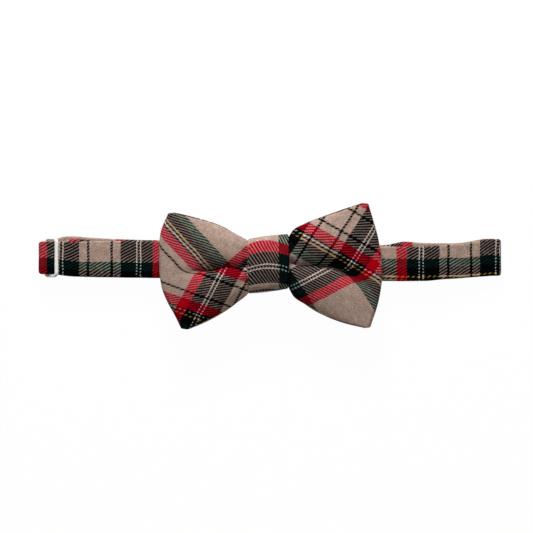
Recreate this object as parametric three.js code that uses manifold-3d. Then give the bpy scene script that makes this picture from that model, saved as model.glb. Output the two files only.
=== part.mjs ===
// A pre-tied bow tie on an adjustable neck band, laid flat: X along the band, Y up the wearer, Z out of the bow's front.
// The band is a closed loop pressed flat. Its front run passes through the knot, its rear runs lie on the table,
// and a hook and an eye join the two rear runs behind the right wing. A slide ring sits at the left turn.
import * as THREE from "three";
import Module from "manifold-3d";
import { mergeVertices } from "three/addons/utils/BufferGeometryUtils.js";

const wasm = await Module();
wasm.setup();

// ---- Driving dimensions, in millimetres ----
const HALF_LENGTH = 116; // from the middle to each end of the flattened loop
const GAP = 0.2; // clearance between neighbouring pieces
const BAND = { width: 17, widthInRing: 16.4, thick: 1.4 }; // a folded flannel strip, pressed
const SEWN = { width: 15.8, ply: 0.9 }; // a turned-back end, squeezed by its stitches

const WIRE = 1.0; // radius of the long bars of the rings and the hook
const RAIL = 0.75; // radius of their short sides
const INNER_WIDTH = 17.0; // between the short sides
const EYE_PITCH = 7.6; // between the two bars of the eye
const HOOK_PITCH = 6.0;
const SLIDE_REACH = 5.7; // from the slide ring's hidden bar to its free bar, along X

const SLIDE_BAR_Z = SEWN.ply + WIRE + BAND.thick + 2 * GAP; // hidden bar of the slide ring
const LEFT_TURN = { x: -HALF_LENGTH + SLIDE_BAR_Z, radius: SLIDE_BAR_Z }; // wraps that bar and the end sewn on it
const RIGHT_TURN = { x: HALF_LENGTH - 2.45, radius: 2.45 };
const FRONT_LOW = {
  left: 2 * LEFT_TURN.radius - BAND.thick,
  knot: 7.1,
  right: 2 * RIGHT_TURN.radius - BAND.thick,
}; // underside of the front run at its left end, in the knot and at its right end

const EYE_BAR = { x: 34, z: WIRE + GAP + BAND.thick }; // bar of the eye inside the band's bend
const EYE_FREE_Z = 1.3;
const HOOK_BAR = { x: 52.5, z: WIRE + SEWN.ply + 2 * GAP };
const HOOK_CLEAR = 0.5; // between the hook's finger and the eye's free bar
const TONGUE = { width: 7, thick: 1.2, bend: 0.9 };
const TAIL = { slider: 11.6, hook: 8.2 }; // from each bar to the end of its sewn stretch

const KNOT = { x: -0.5, y: 0.9, width: 20.5, height: 28, low: 5.5, high: 19, corner: 3, tilt: 5 };
const KNOT_CLOTH = 0.8;
const KNOT_LINING = 0.3;
const PLY_GAP = 0.15; // between the plies of the bow
const WING_PLIES = { cover: 0.7, lining: 0.4, facing: 0.5 }; // from the outside in
const BOW_MID_Z = 13.1; // middle plane of the bow
const BINDING = { width: 6, thick: 0.5 }; // thread wound round the pinched bow
const HALF_DEPTH = { bound: 3.6, knot: 4.4, edge: 3.0 }; // of the bow at its binding, in the knot and at its outer folds
const PUFF = 5; // how far the front lobes swell

// Outline of each wing, from its distance to the knot's middle: top and bottom edges, then how far the outer fold
// reaches at the bottom, in the middle and at the top.
const WINGS = {
  left: {
    side: -1,
    top: [[0, 9.8], [11.5, 12], [19.5, 18], [29.5, 23.8], [49.5, 27]],
    bottom: [[0, -9.0], [11.5, -12.6], [17, -18.5], [27, -25], [43, -31.8]],
    reach: [[0, 43.5], [0.55, 54.8], [1, 50]],
  },
  right: {
    side: 1,
    top: [[0, 10.2], [11.5, 14], [15.5, 18], [25.5, 24.5], [49.5, 31.8]],
    bottom: [[0, -9.4], [11.5, -10.2], [23, -22.5], [35.5, -28], [51, -31.3]],
    reach: [[0, 51], [0.45, 56], [1, 49.5]],
  },
};

// ---- Materials: camel ground cloth, white stiffener, matching thread and white coated metal ----
const finish = (color, roughness) => new THREE.MeshStandardMaterial({ color, roughness, metalness: 0 });
const cloth = () => finish(0xa8917f, 0.95);
const lining = () => finish(0xe9e6df, 0.9);
const thread = () => finish(0xb9a48f, 0.8);
const whiteCoat = () => finish(0xf2f2f0, 0.35);

// ---- Helpers ----
const lerp = THREE.MathUtils.lerp;
const smooth = THREE.MathUtils.smoothstep;

// A smooth curve y(x) through a few points, given from left to right.
function through(...points) {
  return (x) => {
    let i = 0;
    while (i < points.length - 2 && x > points[i + 1][0]) i++;
    const [x0, y0] = points[i];
    const [x1, y1] = points[i + 1];
    const slope = (a, b) => (b[1] - a[1]) / (b[0] - a[0]);
    const here = slope(points[i], points[i + 1]);
    const m0 = i > 0 ? (slope(points[i - 1], points[i]) + here) / 2 : here;
    const m1 = i < points.length - 2 ? (slope(points[i + 1], points[i + 2]) + here) / 2 : here;
    const t = THREE.MathUtils.clamp((x - x0) / (x1 - x0), 0, 1);
    const h = x1 - x0;
    return (
      y0 * (2 * t ** 3 - 3 * t ** 2 + 1) +
      m0 * h * (t ** 3 - 2 * t ** 2 + t) +
      y1 * (3 * t ** 2 - 2 * t ** 3) +
      m1 * h * (t ** 3 - t ** 2)
    );
  };
}

// Turns a closed mesh so that its faces point out.
function facingOut(positions, index) {
  let volume = 0;
  const at = (k) => new THREE.Vector3().fromArray(positions, 3 * k);
  for (let i = 0; i < index.length; i += 3) volume += at(index[i]).dot(at(index[i + 1]).cross(at(index[i + 2])));
  if (volume < 0) for (let i = 0; i < index.length; i += 3) [index[i], index[i + 1]] = [index[i + 1], index[i]];
  const geometry = new THREE.BufferGeometry();
  geometry.setAttribute("position", new THREE.Float32BufferAttribute(positions, 3));
  geometry.setIndex(index);
  return geometry;
}

// The closed solid between two sheets. Each sheet gives a point for u and v from 0 to 1.
function between(rows, cols, above, below) {
  const positions = [];
  for (const sheet of [above, below])
    for (let i = 0; i <= rows; i++)
      for (let j = 0; j <= cols; j++) positions.push(...sheet(i / rows, j / cols).toArray());
  const size = (rows + 1) * (cols + 1);
  const top = (i, j) => i * (cols + 1) + j;
  const low = (i, j) => size + top(i, j);
  const index = [];
  const quad = (a, b, c, d) => index.push(a, b, c, a, c, d);
  for (let i = 0; i < rows; i++)
    for (let j = 0; j < cols; j++) {
      quad(top(i, j), top(i + 1, j), top(i + 1, j + 1), top(i, j + 1));
      quad(low(i, j), low(i, j + 1), low(i + 1, j + 1), low(i + 1, j));
    }
  for (let i = 0; i < rows; i++) {
    quad(top(i, 0), low(i, 0), low(i + 1, 0), top(i + 1, 0));
    quad(top(i, cols), top(i + 1, cols), low(i + 1, cols), low(i, cols));
  }
  for (let j = 0; j < cols; j++) {
    quad(top(0, j), top(0, j + 1), low(0, j + 1), low(0, j));
    quad(top(rows, j), low(rows, j), low(rows, j + 1), top(rows, j + 1));
  }
  return facingOut(positions, index);
}

// A stretch of band from x0 to x1, with its underside at low(x), its middle line at middle(x) and its width at width(x).
function run(x0, x1, steps, low, middle, width = () => BAND.width) {
  const sheet = (raise) => (u, v) => {
    const x = lerp(x0, x1, u);
    return new THREE.Vector3(x, middle(x) + (v - 0.5) * width(x), low(x) + raise);
  };
  return between(steps, 2, sheet(BAND.thick), sheet(0));
}

// A half turn of cloth about a Y axis at (x, z). side is -1 where it bulges to the left and 1 to the right.
function turn(x, z, inner, outer, side, middle, width) {
  const steps = 8;
  const sheet = (radius) => (u, v) => {
    const angle = Math.PI * (u - 0.5);
    return new THREE.Vector3(
      x + side * radius * Math.cos(angle),
      middle + (v - 0.5) * width,
      z + radius * Math.sin(angle),
    );
  };
  return between(steps, 1, sheet(outer), sheet(inner));
}

// A flat outline in Y and Z, extruded along X about the middle of its width.
function alongX(outline, width) {
  const geometry = new THREE.ExtrudeGeometry(outline, { depth: width, bevelEnabled: false, curveSegments: 6 });
  const [x, y, z] = [new THREE.Vector3(1, 0, 0), new THREE.Vector3(0, 1, 0), new THREE.Vector3(0, 0, 1)];
  geometry.applyMatrix4(new THREE.Matrix4().makeBasis(y, z, x));
  geometry.translate(-width / 2, 0, 0);
  return geometry;
}

// A rounded rectangle centred on (0, z), as a Shape or as the Path of a hole.
function rounded(outline, z, halfWidth, halfHeight, corner) {
  const [w, h] = [halfWidth - corner, halfHeight - corner];
  outline.absarc(w, z + h, corner, 0, Math.PI / 2, false);
  outline.absarc(-w, z + h, corner, Math.PI / 2, Math.PI, false);
  outline.absarc(-w, z - h, corner, Math.PI, 1.5 * Math.PI, false);
  outline.absarc(w, z - h, corner, 1.5 * Math.PI, 2 * Math.PI, false);
  outline.closePath();
  return outline;
}

// A flat outline in X and Z, extruded along Y about the middle line.
function alongY(outline, width, middle) {
  const geometry = new THREE.ExtrudeGeometry(outline, { depth: width, bevelEnabled: false, curveSegments: 8 });
  geometry.rotateX(Math.PI / 2);
  geometry.translate(0, middle + width / 2, 0);
  return geometry;
}

// A round wire bent into a closed ring: two long bars along Y, pitch apart in X, and two thinner sides.
function wireRing(pitch) {
  const halfX = pitch / 2;
  const halfY = INNER_WIDTH / 2 + RAIL;
  const corner = 1.7;
  const path = [];
  const cornerSteps = 4;
  for (let k = 0; k < 4; k++) {
    const cx = (k === 0 || k === 3 ? 1 : -1) * (halfX - corner);
    const cy = (k < 2 ? 1 : -1) * (halfY - corner);
    for (let s = 0; s <= cornerSteps; s++) {
      const angle = (k + s / cornerSteps) * (Math.PI / 2);
      path.push({ x: cx + corner * Math.cos(angle), y: cy + corner * Math.sin(angle), angle });
    }
  }
  const sides = 10;
  const positions = [];
  const index = [];
  path.forEach((p, i) => {
    const radius = lerp(RAIL, WIRE, Math.abs(Math.cos(p.angle)));
    for (let j = 0; j < sides; j++) {
      const a = (j / sides) * 2 * Math.PI;
      const out = radius * Math.cos(a);
      positions.push(p.x + out * Math.cos(p.angle), p.y + out * Math.sin(p.angle), radius * Math.sin(a));
      const i2 = (i + 1) % path.length;
      const j2 = (j + 1) % sides;
      const at = (r, c) => r * sides + c;
      index.push(at(i, j), at(i2, j), at(i2, j2), at(i, j), at(i2, j2), at(i, j2));
    }
  });
  return facingOut(positions, index);
}

const solidOf = (geometry) => {
  const bare = geometry.clone();
  for (const name of ["normal", "uv"]) bare.deleteAttribute(name);
  const merged = mergeVertices(bare, 1e-4);
  return new wasm.Manifold(
    new wasm.Mesh({
      numProp: 3,
      vertProperties: merged.attributes.position.array,
      triVerts: new Uint32Array(merged.index.array),
    }),
  );
};

const geometryOf = (solid) => {
  const mesh = solid.getMesh();
  const geometry = new THREE.BufferGeometry();
  geometry.setAttribute("position", new THREE.BufferAttribute(new Float32Array(mesh.vertProperties), 3));
  geometry.setIndex(new THREE.BufferAttribute(new Uint32Array(mesh.triVerts), 1));
  return geometry;
};

const bowTie = new THREE.Group();
function add(name, geometry, material) {
  const mesh = new THREE.Mesh(geometry, material);
  mesh.name = name;
  bowTie.add(mesh);
  return mesh;
}

// ---- Neck band ----
// Middle lines of the layers, seen from the front. The layers lie slightly askew, as cloth does.
const frontLine = through(
  [-116, 4.1], [-108, 4.0], [-100, 3.5], [-82, 3.35], [-58, 3.15], [0, 2.6],
  [58, 1.0], [66, 0.95], [78, 1.1], [86, 1.9], [100, 2.9], [110, 4.2], [116, 4.3],
);
const rearLeftLine = through(
  [-116, 4.1], [-110, 4.9], [-103, 6.6], [-90, 5.8], [-82, 5.2], [-58, 4.5], [-40, 3.6], [0, 2.8], [36, 2.4],
);
const innerLine = through([-104, 4.1], [-90, 4.6], [-60, 3.4], [0, 2.9], [36, 2.4]);
const rearRightLine = through(
  [50, 2.4], [60, 3.4], [65, 4.0], [70, 3.7], [76, 3.1], [97, 3.2], [107, 4.4], [116, 4.3],
);

const frontWidth = (x) => lerp(BAND.widthInRing, BAND.width, smooth(x, -100, -80));
const innerLow = (x) => lerp(SLIDE_BAR_Z - BAND.thick / 2, EYE_BAR.z + WIRE + GAP, smooth(x, -40, 28));
const frontLow = (x) => {
  const leftPart = lerp(FRONT_LOW.left, FRONT_LOW.knot, smooth(x, -70, -50));
  return lerp(leftPart, FRONT_LOW.right, smooth(x, 76, 109));
};

function addBand() {
  const onTable = () => 0;
  const sewnWidth = () => SEWN.width;
  const eyeTurn = { inner: WIRE + GAP, outer: WIRE + GAP + BAND.thick };
  const frontSpan = [LEFT_TURN.x + GAP, RIGHT_TURN.x - GAP];
  add("band_front", run(...frontSpan, 44, frontLow, frontLine, frontWidth), cloth());
  add("band_left_turn", endTurn(LEFT_TURN, -1, frontLine(LEFT_TURN.x), BAND.widthInRing), cloth());
  add("band_rear_left", run(LEFT_TURN.x + GAP, EYE_BAR.x - GAP, 24, onTable, rearLeftLine), cloth());
  const eyeMiddle = rearLeftLine(EYE_BAR.x);
  const eyeBend = turn(EYE_BAR.x, EYE_BAR.z, eyeTurn.inner, eyeTurn.outer, 1, eyeMiddle, SEWN.width);
  add("band_eye_turn", eyeBend, cloth());
  const innerStart = LEFT_TURN.x + TAIL.slider + GAP;
  add("band_inner", run(innerStart, EYE_BAR.x - GAP, 20, innerLow, innerLine, sewnWidth), cloth());
  add("band_right_turn", endTurn(RIGHT_TURN, 1, frontLine(RIGHT_TURN.x), BAND.width), cloth());
  add("band_rear_right", run(HOOK_BAR.x + TAIL.hook + GAP, RIGHT_TURN.x - GAP, 10, onTable, rearRightLine), cloth());
}

function endTurn({ x, radius }, side, middle, width) {
  return turn(x, radius, radius - BAND.thick, radius, side, middle, width);
}

// The band's end folded round a bar at the origin and stitched to itself, seen along Y: a loop, then two plies that
// close to meet at reach. drop moves that meeting place up or down.
function sewnEnd(reach, drop) {
  const inner = WIRE + GAP;
  const lean = Math.PI / 2.6;
  const outline = new THREE.Shape();
  outline.moveTo(reach, drop - BAND.thick / 2);
  outline.lineTo(reach, drop + BAND.thick / 2);
  outline.absarc(0, 0, inner + SEWN.ply, lean, 2 * Math.PI - lean, false);
  outline.closePath();
  outline.holes.push(new THREE.Path().absarc(0, 0, inner, 0, 2 * Math.PI, true));
  return outline;
}

// A dense row of stitches across a sewn end, lying on its upper ply.
function bartack(x, middle, z) {
  const geometry = alongY(rounded(new THREE.Shape(), 0, 0.7, 0.25, 0.2), 11, 0);
  geometry.translate(x, middle, z);
  return geometry;
}

// ---- Slide ring, with the band's inner end sewn to its hidden bar ----
function addSlider() {
  const freeZ = FRONT_LOW.left + BAND.thick + GAP + WIRE;
  const rise = freeZ - SLIDE_BAR_Z;
  const middle = frontLine(LEFT_TURN.x);
  const ringMiddle = middle + 0.2; // the ring has slipped up a little on the band
  const ring = add("slide_ring", wireRing(Math.hypot(SLIDE_REACH, rise)), whiteCoat());
  ring.rotation.y = -Math.atan2(rise, SLIDE_REACH);
  ring.position.set(LEFT_TURN.x + SLIDE_REACH / 2, ringMiddle, (SLIDE_BAR_Z + freeZ) / 2);
  const end = add("band_slider_end", alongY(sewnEnd(TAIL.slider, 0), SEWN.width, middle), cloth());
  end.position.set(LEFT_TURN.x, 0, SLIDE_BAR_Z);
  const tackZ = SLIDE_BAR_Z + BAND.thick / 2 + GAP + 0.35;
  add("slider_end_bartack", bartack(LEFT_TURN.x + 10.2, middle, tackZ), thread());
}

// ---- Eye and hook, which close the band behind the right wing ----
function addClosure() {
  const middle = rearLeftLine(EYE_BAR.x);
  const lean = Math.asin((EYE_BAR.z - EYE_FREE_Z) / EYE_PITCH);
  const freeX = EYE_BAR.x + EYE_PITCH * Math.cos(lean);
  const eye = add("eye_ring", wireRing(EYE_PITCH), whiteCoat());
  eye.rotation.y = lean;
  eye.position.set((EYE_BAR.x + freeX) / 2, middle, (EYE_BAR.z + EYE_FREE_Z) / 2);

  const bars = wireRing(HOOK_PITCH);
  bars.translate(HOOK_BAR.x - HOOK_PITCH / 2, middle, HOOK_BAR.z);
  const tongue = alongY(tongueOutline(freeX - WIRE - HOOK_CLEAR), TONGUE.width, middle);
  add("hook", geometryOf(solidOf(bars).add(solidOf(tongue))), whiteCoat());
  const drop = BAND.thick / 2 - HOOK_BAR.z;
  const end = add("band_hook_end", alongY(sewnEnd(TAIL.hook, drop), SEWN.width, middle), cloth());
  end.position.set(HOOK_BAR.x, 0, HOOK_BAR.z);
  add("hook_end_bartack", bartack(HOOK_BAR.x + TAIL.hook - 1.2, middle, BAND.thick + 1.05), thread());
}

// The hook's tongue, seen along Y: it runs over the eye's free bar and bends down behind it at fingerX.
function tongueOutline(fingerX) {
  const under = EYE_FREE_Z + WIRE + HOOK_CLEAR;
  const rootX = HOOK_BAR.x - HOOK_PITCH + 0.6;
  const tipZ = EYE_FREE_Z - 0.5;
  const centre = { x: fingerX + TONGUE.bend, z: under - TONGUE.bend };
  const outline = new THREE.Shape();
  outline.moveTo(rootX, under + TONGUE.thick);
  outline.lineTo(rootX, under);
  outline.absarc(centre.x, centre.z, TONGUE.bend, Math.PI / 2, Math.PI, false);
  outline.lineTo(fingerX, tipZ);
  outline.lineTo(fingerX - TONGUE.thick, tipZ);
  outline.absarc(centre.x, centre.z, TONGUE.bend + TONGUE.thick, Math.PI, Math.PI / 2, true);
  outline.closePath();
  return outline;
}

// ---- Bow: each wing is a strip of three plies that runs out from the knot, folds at its outer edge and comes back ----
function wingSheet({ side, top, bottom, reach }, inset) {
  const [topEdge, bottomEdge, reachAt] = [through(...top), through(...bottom), through(...reach)];
  const radius = HALF_DEPTH.edge;
  const turnShare = 0.16; // of the strip's parameter, spent on the outer fold
  const place = (out, v) => {
    const y = lerp(bottomEdge(out * reachAt(0)), topEdge(out * reachAt(1)), v);
    return [GAP / 2 + out * (reachAt(v) - radius - GAP / 2), y];
  };
  const plain = (out, distance, v) => {
    const core = lerp(HALF_DEPTH.bound, HALF_DEPTH.knot, smooth(distance, BINDING.width, KNOT.width / 2));
    const roundedOff = 0.58 + 0.42 * Math.sqrt(Math.sin(Math.PI * v));
    return lerp(core * roundedOff, radius, smooth(out, 0.3, 1));
  };
  const swell = (out, distance, v) => {
    const crease = Math.exp(-(((v - 0.5) / 0.13) ** 2)) * (1 - smooth(out, 0.3, 0.8));
    const free = smooth(distance, KNOT.width / 2, KNOT.width);
    return PUFF * free * Math.sin(Math.PI * out) * Math.sqrt(Math.sin(Math.PI * v)) * (1 - 0.9 * crease);
  };
  return (u, v) => {
    const along = Math.abs(2 * u - 1); // 1 at the knot, in front and behind, and 0 at the outermost line of the fold
    const front = u < 0.5;
    const out = Math.min((1 - along) / (1 - turnShare), 1);
    const [distance, y] = place(out, v);
    if (along < turnShare) {
      const angle = (along / turnShare) * (Math.PI / 2);
      const across = (radius - inset) * Math.sin(angle) * (front ? 1 : -1);
      const x = distance + (radius - inset) * Math.cos(angle);
      return new THREE.Vector3(KNOT.x + side * x, y, BOW_MID_Z + across);
    }
    const depth = plain(out, distance, v) - inset;
    const z = front ? depth + swell(out, distance, v) : -depth;
    return new THREE.Vector3(KNOT.x + side * distance, y, BOW_MID_Z + z);
  };
}

function addWings() {
  for (const [name, wing] of Object.entries(WINGS)) {
    let inset = 0;
    for (const [ply, thick] of Object.entries(WING_PLIES)) {
      const material = ply === "lining" ? lining() : cloth();
      const outside = wingSheet(wing, inset);
      const inside = wingSheet(wing, inset + thick);
      add(`${name}_wing_${ply}`, between(25, 8, outside, inside), material);
      inset += thick + PLY_GAP;
    }
  }
}

// ---- Knot: a strip wrapped round the pinched bow and the band, over a stiffener ----
function addKnot() {
  const middleZ = (KNOT.low + KNOT.high) / 2;
  const loop = (inset, thick) => {
    const half = [KNOT.height / 2 - inset, (KNOT.high - KNOT.low) / 2 - inset];
    const outline = rounded(new THREE.Shape(), 0, ...half, KNOT.corner - inset);
    outline.holes.push(rounded(new THREE.Path(), 0, half[0] - thick, half[1] - thick, KNOT.corner - inset - thick));
    return outline;
  };
  const plies = [
    ["knot", alongX(loop(0, KNOT_CLOTH), KNOT.width), cloth()],
    ["knot_lining", alongX(loop(KNOT_CLOTH + PLY_GAP, KNOT_LINING), KNOT.width - 2), lining()],
  ];
  for (const [name, geometry, material] of plies) {
    const mesh = add(name, geometry, material);
    mesh.rotation.z = THREE.MathUtils.degToRad(KNOT.tilt);
    mesh.position.set(KNOT.x, KNOT.y, middleZ);
  }
}

// Thread wound round the pinched middle of the bow, under the knot.
function addBinding() {
  const [halfWidth, halfHeight, corner] = [11.2, HALF_DEPTH.bound + 0.3, 2.2];
  const [outerWidth, outerHeight] = [halfWidth + BINDING.thick, halfHeight + BINDING.thick];
  const outline = rounded(new THREE.Shape(), 0, outerWidth, outerHeight, corner + BINDING.thick);
  outline.holes.push(rounded(new THREE.Path(), 0, halfWidth, halfHeight, corner));
  const binding = add("binding_thread", alongX(outline, BINDING.width), thread());
  binding.position.set(KNOT.x, 0.5, BOW_MID_Z);
}

addBand();
addSlider();
addClosure();
addWings();
addKnot();
addBinding();

export default bowTie;
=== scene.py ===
"""A pre-tied plaid flannel bow tie on an adjustable neck band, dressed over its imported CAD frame.

Lengths are in millimetres until a mesh is made.
X runs along the band, Y up the wearer, Z out of the bow's front.
"""
import math

import bpy
import numpy as np
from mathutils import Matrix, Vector


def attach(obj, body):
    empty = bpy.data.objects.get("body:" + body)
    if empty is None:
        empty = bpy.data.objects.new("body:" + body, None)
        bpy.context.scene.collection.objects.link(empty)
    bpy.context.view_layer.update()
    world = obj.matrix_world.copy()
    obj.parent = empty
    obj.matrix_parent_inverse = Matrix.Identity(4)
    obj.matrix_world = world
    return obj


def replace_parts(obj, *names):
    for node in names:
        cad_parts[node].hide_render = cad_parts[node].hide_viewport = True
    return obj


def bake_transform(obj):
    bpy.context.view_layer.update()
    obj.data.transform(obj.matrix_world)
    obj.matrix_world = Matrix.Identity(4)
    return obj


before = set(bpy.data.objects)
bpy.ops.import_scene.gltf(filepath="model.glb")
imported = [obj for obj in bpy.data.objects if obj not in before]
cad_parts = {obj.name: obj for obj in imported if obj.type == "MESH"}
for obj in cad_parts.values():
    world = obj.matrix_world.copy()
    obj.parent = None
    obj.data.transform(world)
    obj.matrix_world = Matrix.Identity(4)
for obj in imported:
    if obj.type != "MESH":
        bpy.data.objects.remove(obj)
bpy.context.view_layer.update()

MM = 0.001

# ---- Driving sizes, the CAD's own ----
BAND_WIDTH = 17.0
BAND_THICK = 1.4
SEWN_WIDTH = 15.8  # of an end that is sewn round a bar
PLY_THICK = 0.9  # of each ply there
WIRE = 1.0  # radius of the long bars of the rings and the hook
RAIL = 0.75  # radius of their short sides
INNER_WIDTH = 17.0  # between the short sides
LEFT_TURN = (-112.3, 3.7, 3.0)  # x, z and the radius of the middle of the cloth
RIGHT_TURN = (113.55, 2.45, 1.75)
EYE_TURN = (34.0, 2.6, 1.9)
HOOK_BAR = (52.5, 2.3, 1.65)
SLIDE_REACH = 5.7  # from the slide ring's hidden bar to its free bar, along X
EYE_PITCH = 7.6  # between the two bars of the eye
EYE_FREE_Z = 1.3
HOOK_PITCH = 6.0
BOW_X, BOW_MID_Z = -0.5, 13.1
BOUND_DEPTH, KNOT_DEPTH, EDGE_DEPTH = 3.6, 4.4, 3.0
PUFF = 5.0  # how far a wing's front lobes swell

# ---- Sizes fitted to how the cloth lies, close to the CAD's ----
RING_WIDTH = 16.5  # of the band where it passes through the slide ring
FOLD_FLARE = 1.5  # how much wider the band is pressed at its right fold
FOLD_ROUND = 0.9  # how far its corners are rounded where it turns
TURNED_WIDTH = SEWN_WIDTH - 0.6  # of the ply that is turned back
TAIL_THICK = 0.6  # at that ply's very end
SLIDE_BAR = (-112.3, 3.7, 1.72)
LOOP_LEAN = math.pi / 2.6  # angle at which the plies leave a bar
RING_LIFT = 0.2  # the slide ring has slipped up a little on the band
SLIDE_FREE_Z = 8.6
WIRE_CORNER = 1.7
KNOT_X, KNOT_Y, KNOT_Z = -0.9, 1.1, 12.25
KNOT_WIDTH, KNOT_HALF_HEIGHT, KNOT_HALF_DEPTH = 20.6, 13.5, 6.75
KNOT_SLANT = math.tan(math.radians(7))
KNOT_BULGE = 2.3  # how far the knot's front is padded out
EDGE_ROLL = 1.6  # how far the rolled long edges of a wing stand past its surface
OVERHANG = 3.0  # how far a wing's upper lobe leans over the crease
STACK = 1.9  # cover, lining and facing of a wing together
QUARTER = math.pi / 2

# Outline of each wing from its distance to the knot's middle, how far the outer fold reaches from bottom to top,
# and the crease between its lobes as a share of its height. The tuck is how much the upper lobe's warp bends
# towards the knot where it goes into the crease.
WINGS = {
    "left": {
        "side": -1,
        "tuck": 0.0,
        "top": [
            (0, 9.8), (9.4, 11.6), (11.8, 13.6), (17.3, 17.0), (23.3, 20.4), (29.3, 22.6), (41.3, 25.5), (50, 27.3),
        ],
        "bottom": [
            (0, -9.0), (9.4, -11.8), (11.8, -15.2), (17.3, -19.8), (23.3, -23.7), (32, -28.0), (43.5, -32.3),
        ],
        "reach": [(0, 43.9), (0.12, 47.2), (0.2, 49.8), (0.35, 53.3), (0.6, 54.6), (0.85, 53.8), (1, 50.4)],
        "crease": [(0, 0.52), (11.3, 0.52), (20.8, 0.54), (29.4, 0.493), (37.6, 0.478), (54, 0.464)],
    },
    "right": {
        "side": 1,
        "tuck": 0.055,
        "top": [(0, 10.6), (9.3, 13.4), (12.6, 18.4), (18.8, 22.4), (24.8, 24.6), (36.8, 28.3), (49.8, 32.1)],
        "bottom": [
            (0, -9.0), (9.4, -9.7), (12.6, -15.4), (18.8, -20.3), (24.8, -23.9), (36.8, -28.5), (50.8, -31.6),
        ],
        "reach": [(0, 50.6), (0.2, 54.4), (0.42, 56.3), (0.7, 54.6), (1, 49.6)],
        "crease": [(0, 0.50), (10, 0.50), (23, 0.52), (32, 0.488), (39, 0.423), (43, 0.38), (56, 0.33)],
    },
}

TUCK_HEIGHT = 7.0
# How the plaid lies on each lobe, along the warp and the weft:
# cloth place = scale * (x cos a + y sin a) + offset.
LOBE_CLOTH = {
    ("left", "upper"): ((1.05, -49.5, 15.99), (1.10, 43.0, 15.08)),
    ("left", "lower"): ((1.05, -28.5, 32.73), (1.10, 70.5, -4.96)),
    ("right", "upper"): ((1.05, -32.5, 15.85), (1.00, 60.5, 14.17)),
    ("right", "lower"): ((1.05, -62.5, 35.84), (1.05, 33.5, -7.76)),
}

# ---- The cloth's colours, and its stripes from a mirror line of the pattern to the next ----
DYES = {
    "camel": (171, 147, 134),
    "red": (172, 2, 22),
    "black": (3, 4, 6),
    "green": (8, 42, 34),
    "white": (205, 200, 195),
    "yellow": (206, 156, 52),
}
WARP = {
    "shift": 19.75,
    "half": 51.5,
    "pitch": 31.75 / 49,
    "stripes": [
        (0, "camel"), (19.75, "red"), (25.05, "black"), (30.8, "white"), (31.4, "black"),
        (32.75, "white"), (33.35, "black"), (41.0, "camel"), (44.75, "black"), (46.25, "camel"),
    ],
}
WEFT = {
    "shift": -12.5,
    "half": 39.75,
    "pitch": 52.25 / 134,
    "stripes": [
        (0, "camel"), (12.5, "green"), (16.75, "black"), (21.04, "yellow"), (21.81, "black"),
        (23.0, "white"), (23.76, "black"), (24.75, "red"), (30.0, "camel"), (33.25, "black"), (34.5, "camel"),
    ],
}
# The band's warp place less its x, to either side of the join hidden in the knot, and along its inner end.
LEFT_WARP, RIGHT_WARP, INNER_WARP = 116.8, 39.8, 101.0
REAR_RIGHT_SLIP = 5.0  # how far the cloth behind the right fold is eased along
DENSITY_SPAN = 8.0  # dye densities are stored as shares of this


# ---- Small helpers ----
def linear(channel):
    """An 8-bit display value as linear light."""
    c = channel / 255
    return c / 12.92 if c <= 0.04045 else ((c + 0.055) / 1.055) ** 2.4


def colour(*channels):
    return (*[linear(c) for c in channels], 1.0)


def density(*channels):
    """A colour as its dye density, so that threads mix as dyes do."""
    return (*[min(1.0, -math.log(linear(c)) / DENSITY_SPAN) for c in channels], 1.0)


def smooth(x, low, high):
    t = np.clip((np.asarray(x, float) - low) / (high - low), 0, 1)
    return t * t * (3 - 2 * t)


def lerp(a, b, t):
    return a + (b - a) * t


def through(points):
    """A smooth curve y(x) through a few points, given from left to right."""
    xs, ys = np.array(points, float).T
    slopes = np.diff(ys) / np.diff(xs)
    ends = np.concatenate([slopes[:1], (slopes[1:] + slopes[:-1]) / 2, slopes[-1:]])

    def curve(x):
        x = np.asarray(x, float)
        i = np.clip(np.searchsorted(xs, x) - 1, 0, len(xs) - 2)
        h = xs[i + 1] - xs[i]
        t = np.clip((x - xs[i]) / h, 0, 1)
        return (
            ys[i] * (2 * t**3 - 3 * t**2 + 1)
            + ends[i] * h * (t**3 - 2 * t**2 + t)
            + ys[i + 1] * (3 * t**2 - 2 * t**3)
            + ends[i + 1] * h * (t**3 - t**2)
        )

    return curve


def ripple(x, y, size, seed):
    """A gentle unevenness between -1 and 1, with hills about size across: waves that cross."""
    waves, turn, quickening = 5, 2.4, 0.37
    total = 0.0
    for k in range(waves):
        angle = turn * k + seed
        rate = (1 + quickening * k) * 2 * math.pi / (2.2 * size)
        phase = 1.7 * seed + 2.1 * k
        total = total + np.sin(rate * (x * math.cos(angle) + y * math.sin(angle)) + phase)
    return total / waves


# ---- Meshes ----
def new_piece(name, mesh, material, body=None):
    piece = bpy.data.objects.new(name, mesh)
    bpy.context.scene.collection.objects.link(piece)
    mesh.materials.append(material)
    if body:
        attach(piece, body)
    return piece


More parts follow.
